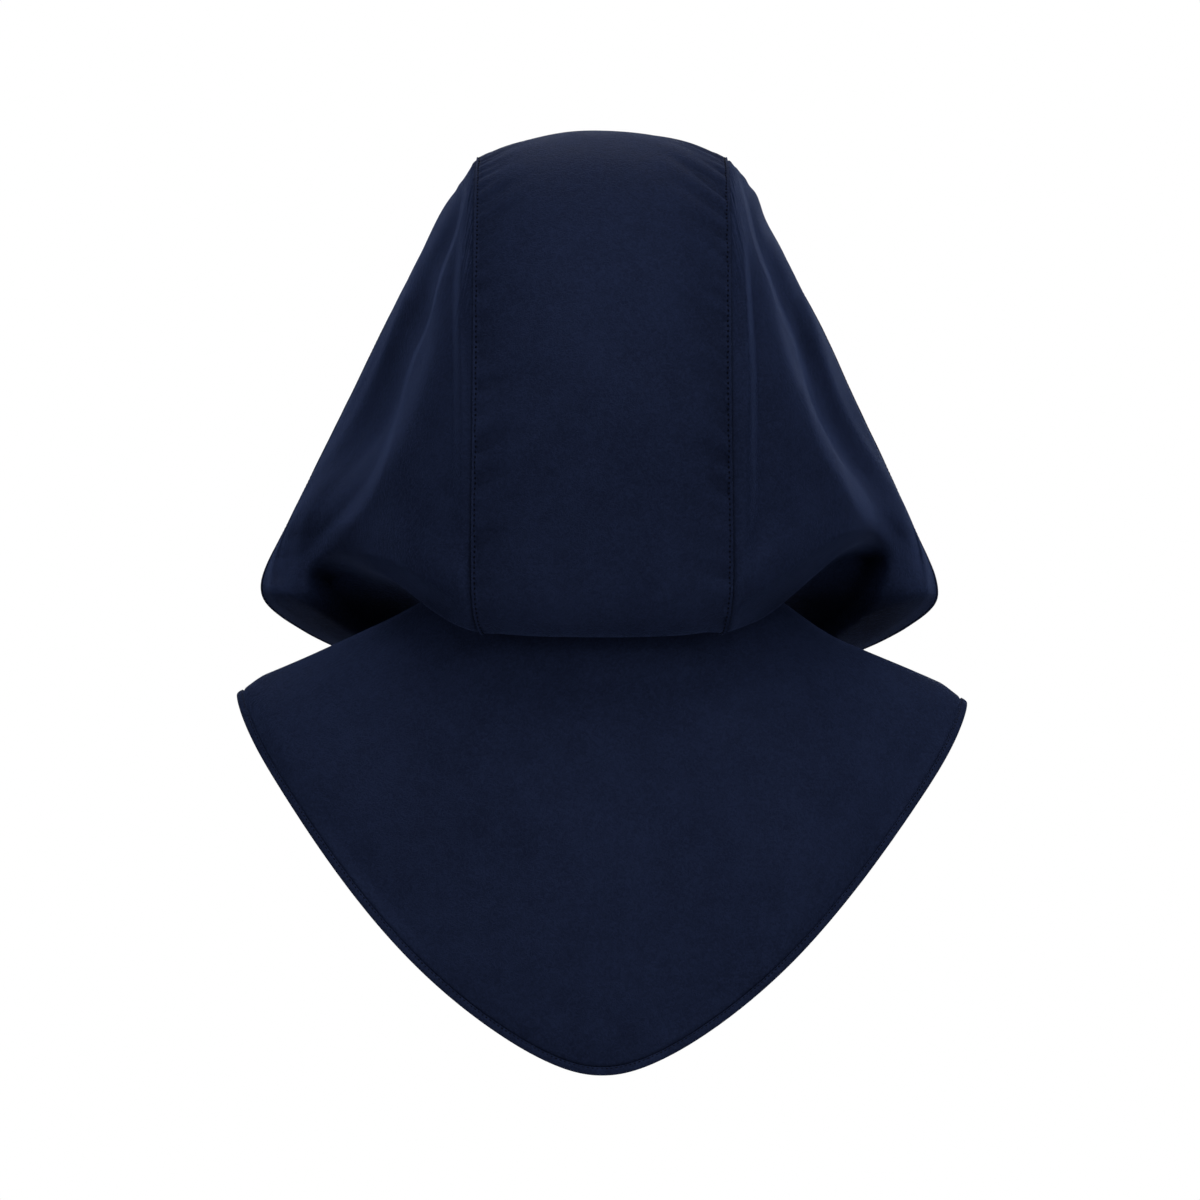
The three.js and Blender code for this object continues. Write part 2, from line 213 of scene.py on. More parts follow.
# Soft unevenness of the hanging cloth: its height, and its shortest and longest wave.
SWELLS = {"crown": (0.5, 45, 120), "side": (0.55, 50, 130), "yoke": (0.8, 60, 150)}
SWELL_FADE = (2, 30)  # how far from a seam it reaches its full height

# Puckers beside the crown seams: from this height down, their spacing, length from the seam,
# height, and how far they run up towards the middle for each millimetre.
PUCKERS = {
    "left": [(20, 7, 14, 1.2, 0.3), (-30, 9, 17, 2.0, 0.3), (-60, 11, 17, 2.4, 0.35),
             (-120, 14, 17, 2.8, 0.35), (-220, 16, 19, 3.0, 0.3), (-330, 18, 14, 1.6, 0.1)],
    "right": [(20, 8, 22, 1.4, 0.4), (-30, 11, 26, 2.2, 0.6), (-60, 12, 24, 2.7, 0.6),
              (-120, 13, 20, 2.9, 0.5), (-220, 15, 20, 3.0, 0.4), (-330, 17, 14, 1.6, 0.2)],
}
PUCKER_FADE = (1.2, 3.6)  # how far from the seam they reach their full depth
PAINTED_PUCKER_SHADE = 0.09  # painted shade in the puckers: share of light lost for each millimetre of their depth
# The same for the fine ripples on the side panel beside the top of the seam.
RIPPLES = [(20, 4, 6, 0.2, -1.0), (-30, 4.5, 13, 0.7, -2.0), (-75, 5.5, 12, 0.5, -2.0),
           (-120, 9, 8, 0.15, -1.5), (-330, 12, 8, 0.08, -1)]
RIPPLE_FADE = (0.5, 2.5)

# Swags of the yoke: angle round from the back, its spread, height, and the shares of the way from
# the neck to the hem where it starts and is full.
SWAGS = {
    "back": [(-66, 13, 3.0, 0.1, 0.6), (-40, 14, -3.0, 0.15, 0.7), (-14, 15, 2.4, 0.2, 0.9),
             (16, 12, -2.0, 0.2, 0.7), (38, 12, 2.4, 0.2, 0.8), (64, 14, -2.2, 0.2, 0.7)],
    "front": [(125, 10, 1.6, 0.2, 0.8), (150, 12, -2.0, 0.2, 0.9), (180, 14, 2.0, 0.3, 0.9),
              (212, 12, -1.8, 0.2, 0.9), (236, 10, 1.6, 0.2, 0.8)],
}
SHOULDER_SAG = 5.0  # how much lower the yoke lies over the right shoulder
SHOULDER_ROUND = 4.5  # how far its edge turns down at both shoulders
SEED = 36

# The turned seam on the crown panel: a raised strip, a dip under its stitches, and a low step where
# the folded cloth behind them ends.
SEAM_RAISE = 0.9
SEAM_STRIP = 0.8  # its width
SEAM_ROLL = {"depth": 1.8, "reach": 0.5}  # how the edge rolls in
SEAM_TUCK = {"depth": 2.6, "reach": 1.3}  # how the side panel dips beside it
INNER_ROLL = {"depth": 1, "reach": 1.3}  # how the crown panel's inner face follows
STITCH_DIP = {"depth": 0.6, "reach": 0.6}
SEAM_FOLD = {"height": 0.35, "ends": (7, 11)}

# Dips where the yoke's hem and its shoulder seams are sewn
HEM_DIP = {"depth": 1.3, "reach": 1.3}
SHOULDER_DIP = {"depth": 0.8, "reach": 0.8}
HEM_UNDERSIDE = {"depth": 0.6, "reach": 1.3}

# Painted shade in a seam: the share of light lost, and how far from it
PAINTED_SEAM_SHADE = {"crown": (1, 0.6), "side": (1, 1.3), "yoke_hem": (0.7, 1.1), "shoulder": (0.8, 0.9)}

STITCH_INSET = 1.8
STITCH = {"pitch": 3.1, "length": 1.6, "width": 1.0, "lift": 0.2}
HEM_STITCH = {"pitch": 2.8, "length": 2.1, "width": 0.9, "lift": 0.1}
# The rows of each grid that are stitched, and the row that their inset is measured in
CROWN_STITCHED = slice(3, -3)
CROWN_MEASURED = 200
SHOULDER_STITCHED = slice(2, -4)
SHOULDER_MEASURED = 60
# Where the hems' stitches run: over the edge by this much, and off the cloth by this much.
YOKE_HEM_STITCHES = (0.25, -0.12)
FACE_HEM_STITCHES = (0.2, 0.0)
# A stitch's rings: place along it from −1 to 1, and the share of its full thickness.
STITCH_RINGS = np.array([(-1.0, 0.35), (-0.8, 0.8), (-0.35, 1.0), (0.35, 1.0), (0.8, 0.8), (1.0, 0.35)])
STITCH_SIDES = 6

# How finely each piece is drawn. The columns of crown and side panels stand at these distances from
# the seam, and then evenly between the two places given, for a panel of about this width.
HOOD_ROWS = 364
CROWN_HALF_WIDTH = 76
CROWN_STEPS = [0, 0.3, 0.6, 1.0, 1.4, 1.8, 2.3, 2.8, 3.3, 3.9, 4.6, 5.5, 6.6, 8.0, 9.6]
CROWN_EVEN = (11.6, 76, 30)
SIDE_WIDTH = 260
SIDE_STEPS = [0, 0.3, 0.7, 1.2, 1.8, 2.5, 3.4, 4.5, 6.0, 8.0]
SIDE_CREASED = (10, 112, 60)
SIDE_PLAIN = (115, 256.6, 47)
RIM_STEPS = [2.0, 1.0, 0]
YOKE_ROWS = 122
YOKE_COLUMNS = {"back": 350, "front": 230}
HEM_SIDES = 18
HEM_STEP = 1.6
HEM_ROUNDNESS = 2.6

# The camera stands level behind the hood, 3 m from the plane through the middle of the crown.
CAMERA_PLANE_Y = -60
CAMERA_DISTANCE = 3000
CAMERA_HEIGHT = -283.8
CAMERA_X = -1.2
LENS = 150  # mm, on a 36 mm sensor

# The studio, in metres: softboxes overhead, behind the camera, low on each side, high beyond the hood
# and in front of it, each with its place, size, power and tint.
FLOOR_HEIGHT = -1.4
FLOOR_RADIUS = 1.4
FLOOR_SIDES = 96
LIGHT_AIM = (0, 0, -0.28)
LIGHTS = [
    ("overhead", (0.1, -1.0, 2.4), 2.0, 66),
    ("behind_camera", (0.3, -3.0, 1.4), 1.8, 37),
    ("left_side", (-1.5, -1.3, -0.2), 1.0, 11),
    ("right_side", (1.5, -1.3, -0.2), 1.0, 13.5),
    ("beyond", (0.0, 1.8, 2.0), 1.6, 26),
    ("in_front", (0.2, 3.0, 0.3), 1.8, 30, (0.75, 0.85, 1.0)),
]
SURROUND_LIGHT = 0.04
SURROUND_TINT = (0.9, 0.95, 1.0, 1)

# Colours from dark to light, and the fine structure of cloth and thread
BLACK = (0, 0, 0, 1)
WHITE = (1, 1, 1, 1)
NAVY = ((0.0038, 0.0064, 0.0185, 1), (0.0082, 0.0130, 0.0345, 1))
NAVY_HEM = ((0.0041, 0.0068, 0.0195, 1), (0.0086, 0.0136, 0.0360, 1))
NAVY_THREAD = ((0.0003, 0.0005, 0.0020, 1), (0.0012, 0.0020, 0.0070, 1))
FLOOR_COLOURS = ((0.86, 0.86, 0.86, 1), (0.92, 0.92, 0.92, 1))
WEAVE_PITCH = 0.55 * MM
NAP_DEPTH = 0.2 * MM
DEEPEST_PAINTED_SHADE = 0.92  # share of the colour taken by the deepest painted shade, where no light gets in
DULL_GLOSS = 0.03
TWIST_PITCH = 0.5 * MM
TWIST_SLANT = 1.6
TWIST_DEPTH = 0.05 * MM


def spline(places, values, at):
    """Natural cubic spline through values at rising places. Its second derivatives m solve
    h0·m0 + 2(h0+h1)·m1 + h1·m2 = 6·(slope1 − slope0), with m = 0 at both ends. Between two places
    the value is a·v0 + b·v1 + ((a³−a)·m0 + (b³−b)·m1)·h²/6, where b is the share of the way, a = 1−b."""
    places, values, at = (np.asarray(x, float) for x in (places, values, at))
    flat = values.reshape(len(places), -1)
    h = np.diff(places)
    slope = np.diff(flat, axis=0) / h[:, None]
    system = np.eye(len(places))
    inner = np.arange(1, len(places) - 1)
    system[inner, inner - 1] = h[:-1]
    system[inner, inner] = 2 * (h[:-1] + h[1:])
    system[inner, inner + 1] = h[1:]
    pull = np.zeros_like(flat)
    pull[1:-1] = 6 * np.diff(slope, axis=0)
    m = np.linalg.solve(system, pull)
    i = np.clip(np.searchsorted(places, at, side="right") - 1, 0, len(h) - 1)
    b = ((at - places[i]) / h[i])[:, None]
    a = 1 - b
    bend = ((a**3 - a) * m[i] + (b**3 - b) * m[i + 1]) * (h[i] ** 2 / 6)[:, None]
    return (a * flat[i] + b * flat[i + 1] + bend).reshape(len(at), *values.shape[1:])


def smooth(low, high, x):
    """0 below low and 1 above high, and 3t²−2t³ between, where t is the share of the way."""
    t = np.clip((x - low) / (high - low), 0, 1)
    return t * t * (3 - 2 * t)


def bell(x):
    """exp(−x²), which is 1 at 0."""
    return np.exp(-(x**2))


def unit(vectors):
    """The vectors at length 1."""
    return vectors / np.maximum(np.linalg.norm(vectors, axis=-1, keepdims=True), 1e-9)


def normals_of(grid):
    """Unit normals of a grid: the step to the next column crossed with the step to the next row."""
    return unit(np.cross(np.gradient(grid, axis=1), np.gradient(grid, axis=0)))


def lengths_along(grid, axis):
    """Running length of the grid's rows or columns, from 0 at its start."""
    step = np.linalg.norm(np.diff(grid, axis=axis), axis=-1)
    shape = list(grid.shape[:2])
    shape[axis] = 1
    return np.concatenate([np.zeros(shape), np.cumsum(step, axis=axis)], axis=axis)


def mesh_object(name, points, quads, uv, ends=()):
    """A mesh object from points in millimetres, quads, and a UV for each point in millimetres."""
    mesh = bpy.data.meshes.new(name)
    mesh.from_pydata((points * MM).tolist(), [], quads.tolist() + list(ends))
    layer = mesh.uv_layers.new(name="cloth")
    corner = np.zeros(len(mesh.loops), np.int32)
    mesh.loops.foreach_get("vertex_index", corner)
    layer.uv.foreach_set("vector", (uv[corner] * MM).astype(np.float32).ravel())
    mesh.polygons.foreach_set("use_smooth", np.ones(len(mesh.polygons), bool))
    mesh.set_sharp_from_angle(angle=math.radians(55))
    mesh.update()
    made = bpy.data.objects.new(name, mesh)
    bpy.context.scene.collection.objects.link(made)
    return made


def cloth_object(name, outer, inner, uv, painted_shade):
    """A closed sheet: an outer and an inner grid of points, and a rim all round between them. Its
    painted shade, 0 to 1 at each point, is the share of colour darkened where hardly any light gets in."""
    rows, columns = outer.shape[:2]
    front = np.arange(rows * columns).reshape(rows, columns)
    back = front + rows * columns

    def strip(a, b, c, d):
        return np.stack([a, b, c, d], -1).reshape(-1, 4)

    quads = np.concatenate([
        strip(front[:-1, :-1], front[:-1, 1:], front[1:, 1:], front[1:, :-1]),
        strip(back[:-1, :-1], back[1:, :-1], back[1:, 1:], back[:-1, 1:]),
        strip(front[:-1, 0], front[1:, 0], back[1:, 0], back[:-1, 0]),
        strip(front[:-1, -1], back[:-1, -1], back[1:, -1], front[1:, -1]),
        strip(front[0, :-1], back[0, :-1], back[0, 1:], front[0, 1:]),
        strip(front[-1, :-1], front[-1, 1:], back[-1, 1:], back[-1, :-1]),
    ])
    points = np.concatenate([outer.reshape(-1, 3), inner.reshape(-1, 3)])
    made = mesh_object(name, points, quads, np.concatenate([uv.reshape(-1, 2)] * 2))
    # Painted shade, stored on each point, for the finish to darken the colour by
    painted_shade_layer = made.data.attributes.new("painted_shade", "FLOAT", "POINT")
    painted_shade_layer.data.foreach_set("value", np.concatenate([painted_shade.ravel()] * 2).astype(np.float32))
    return made


def neck(angle, grow=0.0):
    """Neck seam: x = (w+g)·sin a, y = −(d+g)·cos a, z = back − drop·((1−cos a)/2)^power + g."""
    turn = np.radians(angle)
    share = ((1 - np.cos(turn)) / 2) ** NECK["drop_power"]
    x = (NECK["half_width"] + grow) * np.sin(turn)
    y = -(NECK["half_depth"] + grow) * np.cos(turn)
    return np.stack([x, y, NECK["back_z"] - NECK["front_drop"] * share + grow], -1)


MIDDLES = np.array([NECK_SECTION[0]] + [row[0] for row in SECTIONS.values()], float)
SECTION_PLACES = np.concatenate([[0], np.cumsum(np.hypot(*np.diff(MIDDLES, axis=0).T))])
NECK_SEAM_ANGLE = math.degrees(math.asin(NECK_SECTION[1][0] / NECK["half_width"]))
PLACES = np.linspace(0, SECTION_PLACES[-1], HOOD_ROWS + 1)


def crown_section(row, across):
    """A section of the crown panel: [half·w, y + seam_y·|w|^n, z + seam_z·|w|^n] for w from −1 to 1."""
    (y, z), (half, seam_y, seam_z) = row[:2]
    fall = np.abs(across) ** CROWN_ROUNDNESS
    return np.stack([half * across, y + seam_y * fall, z + seam_z * fall], -1)


def crown_surface():
    """The crown panel's outer face: its sections joined by a spline along each column. The columns
    stand closer together beside the two seams."""
    half = 1 - np.concatenate([CROWN_STEPS, np.linspace(*CROWN_EVEN)]) / CROWN_HALF_WIDTH
    across = np.concatenate([-half, half[::-1][1:]])
    sections = [neck(across * NECK_SEAM_ANGLE, GAP)]
    sections += [crown_section(row, across) for row in SECTIONS.values()]
    return spline(SECTION_PLACES, np.array(sections), PLACES)


def side_surface(shifts):
    """A side panel's outer face as on the wearer's right: each section is a spline through seam,
    ridge, hollow, lobe and rim, and each column a spline through the sections. The columns stand
    closer together beside the seam and the rim."""
    even = (np.linspace(*SIDE_CREASED), np.linspace(*SIDE_PLAIN))
    across = np.concatenate([SIDE_STEPS, *even, SIDE_WIDTH - np.array(RIM_STEPS)]) / SIDE_WIDTH
    sections = [neck(NECK_SEAM_ANGLE + (THROAT_ANGLE - NECK_SEAM_ANGLE) * across, GAP)]
    for name, row in SECTIONS.items():
        stations = np.array([crown_section(row, np.float64(1)), *row[2:]], float)
        if name in shifts:
            stations[1:] += shifts[name]
        sections.append(spline(STATIONS, stations, across))
    return spline(SECTION_PLACES, np.array(sections), PLACES)


def seen_from_behind(grid):
    """Distance from the middle and height of each point, as seen on the plane through the crown."""
    shrink = CAMERA_DISTANCE / (CAMERA_DISTANCE + grid[..., 1] - CAMERA_PLANE_Y)
    height = CAMERA_HEIGHT + (grid[..., 2] - CAMERA_HEIGHT) * shrink
    return np.abs(grid[..., 0]) * shrink, height


def along_line(height, rows):
    """What the rows say at each height, column by column: the first as a spline, the rest straight."""
    table = np.array(rows[::-1], float)
    at = np.clip(height, table[0, 0], table[-1, 0])
    line = spline(table[:, 0], table[:, 1], at.ravel()).reshape(at.shape)
    return [line] + [np.interp(at, table[:, 0], column) for column in table.T[2:]]


def fold_heights(reach, height, rows):
    """A fold: h·exp(−(d/w)²), where d is the distance from its line and w its width on that side."""
    line, lift, inward, outward = along_line(height, rows)
    away = reach - line
    return lift * bell(away / np.where(away < 0, inward, outward))


def crease_heights(reach, height, rows):
    """A crease: from a·exp(−(d/l)²) before its line to −b·exp(−(d/m)²) behind it, where d is the
    distance from the line, and the change from one to the other takes its half width on each side."""
    line, before, behind, half, inward, outward = along_line(height, rows)
    away = reach - line
    share = smooth(-1, 1, away / half)
    rise = before * bell(np.minimum(away, 0) / inward)
    fall = behind * bell(np.maximum(away, 0) / outward)
    return rise * (1 - share) - fall * share


def bulge_heights(reach, height, bulges):
    """Sum of the bulges: each is h·exp(−(dx/w)²−(dz/r)²), with its own r upwards and downwards."""
    total = np.zeros(reach.shape)
    for across, level, lift, width, up, down in bulges:
        rise = height - level
        total += lift * bell((reach - across) / width) * bell(rise / np.where(rise > 0, up, down))
    return total


def hollow_depths(reach, height, outline):
    """How far the cloth lies in at the hollow: full·(3t²−2t³), where t is the share of the way over
    the outline. On the pouch's side a soft bulge lies before it, and on the lobe's a narrow ridge."""
    table = np.array(outline + outline[:1], float)
    path = spline(np.arange(len(table)), table, np.linspace(0, len(table) - 1, 240)[:-1])
    ahead = np.roll(path, -1, 0)[:, :2] - path[:, :2]
    offset = np.stack([reach, height], -1)[..., None, :] - path[:, :2]
    nearest = np.argmin(np.sum(offset**2, -1), -1)
    offset = np.take_along_axis(offset, nearest[..., None, None], -2)[..., 0, :]
    step = ahead[nearest]
    turned = np.sign(step[..., 1] * offset[..., 0] - step[..., 0] * offset[..., 1])
    inside = np.linalg.norm(offset, axis=-1) * turned
    before, behind = path[nearest, 2], path[nearest, 3]
    share = smooth(0, 1, (inside + before) / (before + behind))
    lift, away, width = POUCH_BULGE
    bulge = lift * smooth(4, 10, before) * bell((inside + away) / width)
    lift, away, width = LOBE_RIDGE
    ridge = lift * (1 - smooth(1, 5, before)) * bell((inside + away) / width)
    return HOLLOW_DEPTH * share - bulge - ridge


def pucker_heights(away, along, heights, rows, random):
    """Sum of the puckers along a seam: each is a·exp(−((s − s0 − slope·d)/w)²)·exp(−(d/l)²), where
    s is the length along the seam and d the distance from it. Its height a, length l, width w and
    slope follow the table at its own height. They vary by about a third, and so does the step to the
    next one."""
    table = np.array(rows[::-1], float)
    total = np.zeros(away.shape)
    at = along[0] + 4
    while at < along[-1] - 3:
        z = np.interp(at, along, heights)
        spacing, length, lift, slope = (np.interp(z, table[:, 0], table[:, k]) for k in (1, 2, 3, 4))
        length *= random.uniform(0.6, 1.35)
        width = spacing * random.uniform(0.29, 0.37) * (1 + 0.4 * away / length)
        ridge = bell((along[:, None] - at - slope * random.uniform(0.6, 1.4) * away) / width)
        total += lift * random.uniform(0.4, 1.3) * ridge * bell(away / length)
        at += spacing * random.uniform(0.7, 1.35)
    return total


def swell(u, v, random, height, shortest, longest, waves=9):
    """Soft unevenness of hanging cloth: a sum of waves h·sin(2π(u·cos a + v·sin a)/l + p) with random
    directions a, phases p and lengths l between the two given, together about the given height."""
    total = np.zeros(np.broadcast(u, v).shape)
    for _ in range(waves):
        turn, phase = random.uniform(0, 2 * math.pi, 2)
        length = random.uniform(shortest, longest)
        total += np.sin(2 * math.pi * (u * math.cos(turn) + v * math.sin(turn)) / length + phase)
    return total * height / math.sqrt(waves)


def mirrored(grid):
    """The grid on the wearer's other side, with its columns turned round so that it still faces out."""
    return grid[:, ::-1] * np.array([-1.0, 1.0, 1.0])


def near_edge(away, size):
    """How far the cloth is drawn in at an edge: depth·exp(−away/reach)."""
    return size["depth"] * np.exp(-away / size["reach"])


def seam_profile(away):
    """Height of the crown panel's turned edge: a raised strip that rounds off at the seam, a dip
    under the stitches and a low step over the folded cloth behind them."""
    strip = SEAM_RAISE * (1 - smooth(SEAM_STRIP, STITCH_INSET, away))
    dip = STITCH_DIP["depth"] * bell((away - STITCH_INSET) / STITCH_DIP["reach"])
    step = SEAM_FOLD["height"] * (1 - smooth(*SEAM_FOLD["ends"], away))
    return strip - dip + step - near_edge(away, SEAM_ROLL)


def painted_seam_shade(away, seam):
    """Painted shade beside a seam, as the share of light lost: share·exp(−(away/reach)²)."""
    share, reach = PAINTED_SEAM_SHADE[seam]
    return share * bell(away / reach)


def crown_panel(base, edge_normals):
    """The crown panel: seam profile and puckers on both sides of a softly uneven panel."""
    random = np.random.default_rng(SEED)
    normals = normals_of(base)
    normals[:, -1] = edge_normals
    normals[:, 0] = edge_normals * np.array([-1, 1, 1])
    across = lengths_along(base, 1)
    along = lengths_along(base, 0)
    from_left, from_right = across, across[:, -1:] - across
    from_seam = np.minimum(from_left, from_right)
    soft = swell(across, along, random, *SWELLS["crown"]) * smooth(*SWELL_FADE, from_seam)
    puckers = np.zeros(across.shape)
    for away, side, edge in ((from_left, "left", 0), (from_right, "right", -1)):
        held = smooth(*PUCKER_FADE, away)
        puckers += held * pucker_heights(away, along[:, edge], base[:, edge, 2], PUCKERS[side], random)
    height = soft + seam_profile(from_left) + seam_profile(from_right) - puckers
    outer = base + normals * height[..., None]
    inner = base - normals * (CLOTH - soft + near_edge(from_seam, INNER_ROLL))[..., None]
    # Painted shade in both seams, and in the puckers by their depth
    painted_shade = painted_seam_shade(from_seam, "crown") + PAINTED_PUCKER_SHADE * puckers
    return outer, inner, np.stack([across - across[:, -1:] / 2, along], -1), painted_shade


def side_panel(side, base, edge_normals):
    """A side panel as on the wearer's right, with its folds, its tucked seam edge and fine ripples
    beside the top of the seam. The folds are moved straight backwards, which keeps the outline."""
    random = np.random.default_rng(SEED + len(side))
    away = lengths_along(base, 1)
    along = lengths_along(base, 0)
    reach, height = seen_from_behind(base)
    to_rim = away[:, -1:] - away
    relief = fold_heights(reach, height, LOBE_FOLD[side]) + bulge_heights(reach, height, BULGES[side])
    relief += fold_heights(reach, height, RIM_FOLD) * smooth(*RIM_FOLD_FADE, to_rim)
    relief -= hollow_depths(reach, height, HOLLOWS[side]) * smooth(*HOLLOW_FADE, to_rim)
    relief *= smooth(*LOBE_FADE, to_rim)
    creases = sum(crease_heights(reach, height, rows) for rows in CREASES[side])
    relief += creases * smooth(*CREASE_FADE, to_rim)
    relief *= smooth(*SEAM_FADE, away) * smooth(*NECK_FADE, along)
    soft = swell(away, along, random, *SWELLS["side"]) * smooth(*SWELL_FADE, away) * smooth(0, 25, to_rim)
    bent = base + normals_of(base) * soft[..., None]
    bent[..., 1] -= relief
    normals = normals_of(bent)
    normals[:, 0] = edge_normals
    normals[-1] = normals[-2]
    step = bent[:, 1] - bent[:, 0]
    step -= edge_normals * np.sum(step * edge_normals, -1, keepdims=True)
    bent[:, 0] += unit(step) * SEAM_GAP
    ripples = pucker_heights(away, along[:, 0], base[:, 0, 2], RIPPLES, random) * smooth(*RIPPLE_FADE, away)
    tuck = near_edge(away, SEAM_TUCK)
    outer = bent + normals * (ripples - tuck)[..., None]
    inner = bent - normals * (CLOTH + tuck)[..., None]
    # Painted shade in the seam, and in the pockets under the lobe and the pouch
    painted_shade = np.maximum(painted_seam_shade(away, "side"), bulge_heights(reach, height, PAINTED_POCKET_SHADE[side]))
    return outer, inner, normals, np.stack([away, along], -1), painted_shade


def yoke_surface(angles, shares):
    """The yoke's outer face, share 0 at the neck and 1 at the hem:
    out = 1 − (1−share)^(side + middle·cos²a), x and y run from the neck seam to the shoulder ellipse
    by out, and z to the hem's height by share."""
    angle, share = np.meshgrid(angles, shares)
    side = np.cos(np.radians(angle))
    around = np.degrees(np.arccos(np.clip(side, -1, 1)))
    start = neck(angle)
    depth = np.where(side > 0, YOKE_DEPTH["back"], YOKE_DEPTH["front"])
    out = 1 - (1 - share) ** (YOKE_FALL["side"] + YOKE_FALL["middle"] * side**2)
    hem = spline(HEM_TABLE[:, 0], HEM_TABLE[:, 1], around.ravel()).reshape(around.shape)
    x = start[..., 0] + (SHOULDER_HALF_WIDTH * np.sin(np.radians(angle)) - start[..., 0]) * out
    y = start[..., 1] + (-depth * side - start[..., 1]) * out
    return np.stack([x, y, start[..., 2] + (hem - start[..., 2]) * share], -1), angle, share


def yoke_flap(first, last, columns, swags, seed):
    """A flap of the yoke: soft swags that fan out from the neck, a dip at each shoulder seam and
    where the hem is sewn on, and painted shade in these seams."""
    random = np.random.default_rng(SEED + seed)
    base, angle, share = yoke_surface(np.linspace(first, last, columns + 1), np.linspace(1, 0, YOKE_ROWS + 1))
    sideways = np.sin(np.radians(angle))
    sag = np.where(sideways > 0, SHOULDER_SAG, 0) * sideways**4 * smooth(0.08, 0.4, share)
    base[..., 2] -= sag + SHOULDER_ROUND * np.abs(sideways) ** 8 * smooth(0.88, 1.04, share)
    across = lengths_along(base, 1)
    from_hem = lengths_along(base, 0)
    from_seam = np.minimum(across, across[:, -1:] - across)
    soft = swell(base[..., 0], base[..., 2], random, *SWELLS["yoke"])
    for centre, width, height, start, full in swags:
        soft += height * bell((angle - centre) / width) * smooth(start, full, share)
    soft *= smooth(0.03, 0.25, share) * smooth(*SWELL_FADE, from_seam) * smooth(0, 14, from_hem)
    bent = base + normals_of(base) * soft[..., None]
    normals = normals_of(bent)
    height = -HEM_DIP["depth"] * bell(from_hem / HEM_DIP["reach"]) - near_edge(from_seam, SHOULDER_DIP)
    outer = bent + normals * height[..., None]
    inner = bent - normals * (CLOTH + near_edge(from_hem, HEM_UNDERSIDE))[..., None]
    # Painted shade in the hem's seam and the shoulder seams
    painted_shade = painted_seam_shade(from_hem, "yoke_hem") + painted_seam_shade(from_seam, "shoulder")
    return bent, outer, inner, normals, np.stack([across - across[:, -1:] / 2, -from_hem], -1), painted_shade


def even_path(points, normals, step, closed, passes=0):
    """The path with its points at equal steps, smoothed by the mean of each point's neighbours."""
    if closed:
        points, normals = np.vstack([points, points[:1]]), np.vstack([normals, normals[:1]])
    along = np.concatenate([[0], np.cumsum(np.linalg.norm(np.diff(points, axis=0), axis=1))])
    count = round(along[-1] / step)
    at = np.linspace(0, along[-1], count + 1)[: count if closed else None]
    both = np.hstack([points, normals])
    both = np.stack([np.interp(at, along, column) for column in both.T], -1)
    for _ in range(passes):
        before, after = np.roll(both, 1, 0), np.roll(both, -1, 0)
        mean = (before + 2 * both + after) / 4
        both = mean if closed else np.vstack([both[:1], mean[1:-1], both[-1:]])
    return both[:, :3], unit(both[:, 3:]), at


def directions(points, closed):
    """Unit direction of a path at each of its points."""
    if closed:
        return unit(np.roll(points, -1, 0) - np.roll(points, 1, 0))
    return unit(np.gradient(points, axis=0))


def hem_band(name, points, normals, size, closed, random):
    """A folded hem along an edge: the section |x/a|^n + |y/b|^n = 1 with the hem's roundness n, carried
    along the edge. It laps over the edge a little, and swells and thins on its way."""
    points, normals, at = even_path(points, normals, HEM_STEP, closed, 2)
    off = unit(np.cross(directions(points, closed), normals))
    turn = np.linspace(0, 2 * math.pi, HEM_SIDES, endpoint=False)
    power = 2 / HEM_ROUNDNESS
    across = np.sign(np.cos(turn)) * np.abs(np.cos(turn)) ** power * (size["width"] + HEM_LAP) / 2
    up = np.sign(np.sin(turn)) * np.abs(np.sin(turn)) ** power * size["thickness"] / 2
    uneven = 1 + 0.05 * swell(at, 0 * at, random, 1, 7, 40)
    middle = points - normals * CLOTH / 2 + off * (GAP + size["width"] / 2 - HEM_LAP / 2)
    lifted = normals[:, None] * (up * uneven[:, None])[..., None]
    rings = middle[:, None] + off[:, None] * across[:, None] + lifted
    count = len(rings)
    index = np.arange(count * HEM_SIDES).reshape(count, HEM_SIDES)
    ring_after = np.roll(index, -1, 0) if closed else index[1:]
    ring = index if closed else index[:-1]
    corners = (ring, ring_after, np.roll(ring_after, -1, 1), np.roll(ring, -1, 1))
    quads = np.stack(corners, -1).reshape(-1, 4)
    ends = () if closed else (index[0].tolist(), index[-1, ::-1].tolist())
    girth = turn * (size["width"] + size["thickness"]) / 4
    uv = np.stack(np.broadcast_arrays(at[:, None], girth), -1)
    return mesh_object(name, rings.reshape(-1, 3), quads, uv.reshape(-1, 2), ends)


